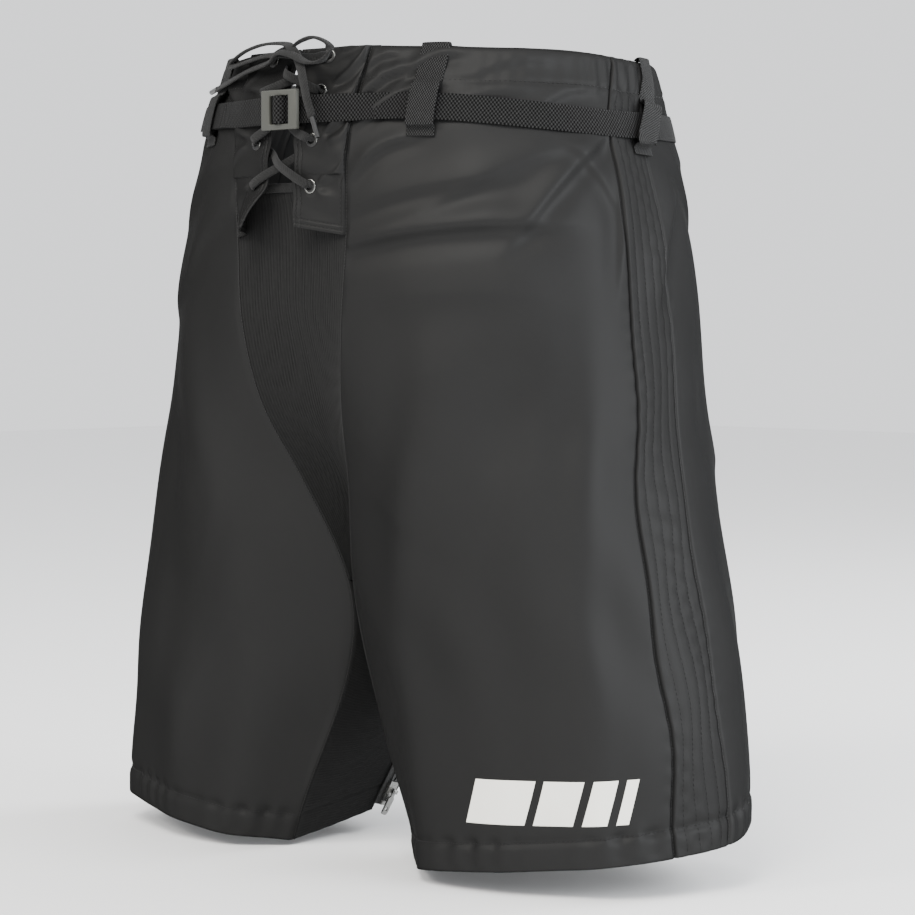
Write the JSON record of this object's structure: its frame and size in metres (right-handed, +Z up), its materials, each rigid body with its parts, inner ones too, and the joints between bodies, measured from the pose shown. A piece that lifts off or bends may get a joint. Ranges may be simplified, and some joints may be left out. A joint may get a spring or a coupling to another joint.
{
  "type": "hockey pants shell",
  "caption": "Woven outer shell of ice hockey pants with a laced fly, webbing belt and slide buckle, ribbed stretch gusset and zipped inner legs",
  "frame": {"origin": "middle of the waist at the belt line", "axes": "+Z up from the legs to the waist, -Y out of the front of the garment, +X toward the wearer's left"},
  "size_m": [0.5204, 0.3078, 0.544],
  "materials": {
    "shell_cloth": "plain-woven coated nylon, low sheen",
    "side_cloth": "plain-woven coated nylon, low sheen",
    "back_cloth": "plain-woven coated nylon, low sheen",
    "rib_knit": "ribbed stretch knit, matte",
    "flap_cloth": "smooth coated nylon, satin sheen",
    "lining": "smooth lining tape",
    "elastic": "woven elastic",
    "nickel": "nickel plated",
    "lace": "flat braided polyester",
    "tip_plastic": "shrunk film tip",
    "webbing": "woven polypropylene webbing",
    "buckle_plastic": "moulded acetal, fine matt texture",
    "zip_tape": "woven tape",
    "zip_plastic": "nylon coil",
    "zip_metal": "nickel plated zinc",
    "transfer_film": "heat transfer film, satin white"
  },
  "bodies": {
    "shell": {"front_panel_left": "shell_cloth", "front_panel_right": "shell_cloth", "side_strip_left": "side_cloth", "side_strip_right": "side_cloth", "back_panel_left": "back_cloth", "back_panel_right": "back_cloth", "front_gusset": "rib_knit", "inner_gusset_left": "rib_knit", "inner_gusset_right": "rib_knit", "fly_flap_left": "flap_cloth", "fly_flap_right": "flap_cloth", "waist_facing": "lining", "waist_elastic": "elastic", "eyelets_left": "nickel", "eyelets_right": "nickel", "eyelet_washers_left": "nickel", "eyelet_washers_right": "nickel", "lace": "lace", "lace_tips": "tip_plastic", "belt": "webbing", "belt_loop_front_left": "webbing", "belt_loop_front_right": "webbing", "belt_loop_side_left": "webbing", "belt_loop_side_right": "webbing", "belt_loop_back": "webbing", "zip_tapes_left": "zip_tape", "zip_tapes_right": "zip_tape", "zip_chain_left": "zip_plastic", "zip_chain_right": "zip_plastic", "zip_stops_left": "zip_metal", "zip_stops_right": "zip_metal", "hem_mark": "transfer_film"},
    "buckle": {"buckle": "buckle_plastic"},
    "slider_left": {"zip_slider_left": "zip_metal"},
    "pull_left": {"zip_pull_left": "zip_metal"},
    "slider_right": {"zip_slider_right": "zip_metal"},
    "pull_right": {"zip_pull_right": "zip_metal"}
  },
  "joints": [
    {"name": "buckle_tilt", "type": "hinge", "parent": "shell", "child": "buckle", "pos_m": [0.006, -0.1487, 0], "axis": [0, 0, 1], "range_deg": [0, 8]},
    {"name": "zip_slide_left", "type": "slide", "parent": "shell", "child": "slider_left", "axis": [-0.3248, 0.2865, 0.9013], "range_m": [0, 0.114]},
    {"name": "zip_pull_hinge_left", "type": "hinge", "parent": "slider_left", "child": "pull_left", "pos_m": [0.0568, 0.0155, -0.47262], "axis": [0.2155, 0.9504, -0.2244], "range_deg": [0, 170]},
    {"name": "zip_slide_right", "type": "slide", "parent": "shell", "child": "slider_right", "axis": [0.3248, 0.2865, 0.9013], "range_m": [0, 0.114]},
    {"name": "zip_pull_hinge_right", "type": "hinge", "parent": "slider_right", "child": "pull_right", "pos_m": [-0.0568, 0.0155, -0.47262], "axis": [0.2155, -0.9504, 0.2244], "range_deg": [0, 170]}
  ]
}
